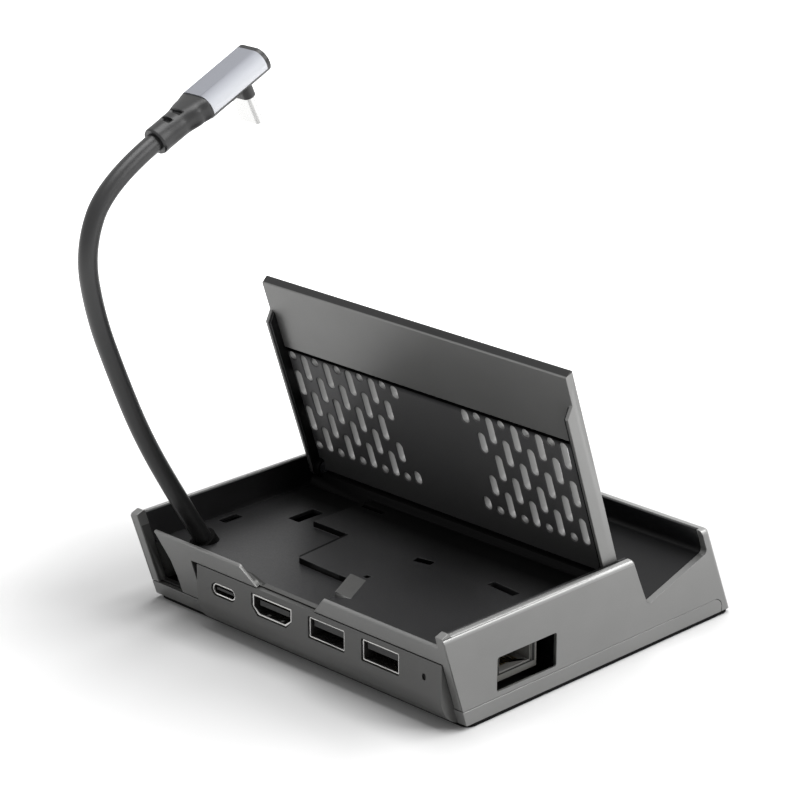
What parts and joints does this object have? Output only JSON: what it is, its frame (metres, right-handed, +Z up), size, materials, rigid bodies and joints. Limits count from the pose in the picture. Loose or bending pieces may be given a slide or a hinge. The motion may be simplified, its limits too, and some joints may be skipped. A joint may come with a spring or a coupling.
{
  "type": "handheld console dock",
  "caption": "Desktop dock with a folding stand over a storage tray, a trough for the device, rear and side sockets, and a short lead with an angled plug.",
  "frame": {"origin": "centre of the base on the table, without the lead", "axes": "+Z up, +Y towards the socket side at the rear, +X towards the side of the lead"},
  "size_m": [0.1194, 0.1383, 0.1535],
  "materials": {
    "grey_shell": "fine satin moulded texture",
    "grey_cover": "fine satin moulded texture",
    "black_liner": "matte moulded black",
    "dark_grille": "matte moulded dark grey",
    "pad_rubber": "matte rubber",
    "socket_steel": "nickel plated sheet",
    "socket_black": "moulded black insert",
    "contact_gold": "gold plated spring contacts",
    "board_green": "coated circuit board",
    "screw_steel": "zinc plated",
    "lamp_clear": "clear light guide",
    "cable_jacket": "satin elastomer jacket",
    "boot_plastic": "overmoulded strain relief",
    "sleeve_aluminium": "bead blasted, anodised grey"
  },
  "bodies": {
    "base": {"outer_shell": "grey_shell", "rear_frame": "grey_shell", "tray": "black_liner", "bottom_cover": "grey_cover", "base_pad": "pad_rubber", "cover_screws": "screw_steel", "main_board": "board_green", "board_screws": "screw_steel", "usb_a_shell_1": "socket_steel", "usb_a_tongue_1": "socket_black", "usb_a_shell_2": "socket_steel", "usb_a_tongue_2": "socket_black", "hdmi_shell": "socket_steel", "hdmi_tongue": "socket_black", "usb_c_shell": "socket_steel", "usb_c_tongue": "socket_black", "light_pipe": "lamp_clear", "ethernet_shield": "socket_steel", "ethernet_insert": "socket_black", "ethernet_contacts": "contact_gold", "hinge_pins": "screw_steel", "cable_gland": "boot_plastic", "cable": "cable_jacket", "plug_boot": "boot_plastic", "plug_sleeve": "sleeve_aluminium", "plug_core": "boot_plastic", "plug_shell": "socket_steel", "plug_insert": "socket_black"},
    "stand": {"stand_plate": "grey_shell", "stand_grille": "dark_grille", "hinge_sleeves": "screw_steel"}
  },
  "joints": [
    {"name": "stand_fold", "type": "hinge", "parent": "base", "child": "stand", "pos_m": [0, -0.0102, 0.0241], "axis": [-1, 0, 0], "range_deg": [0, 55]}
  ]
}
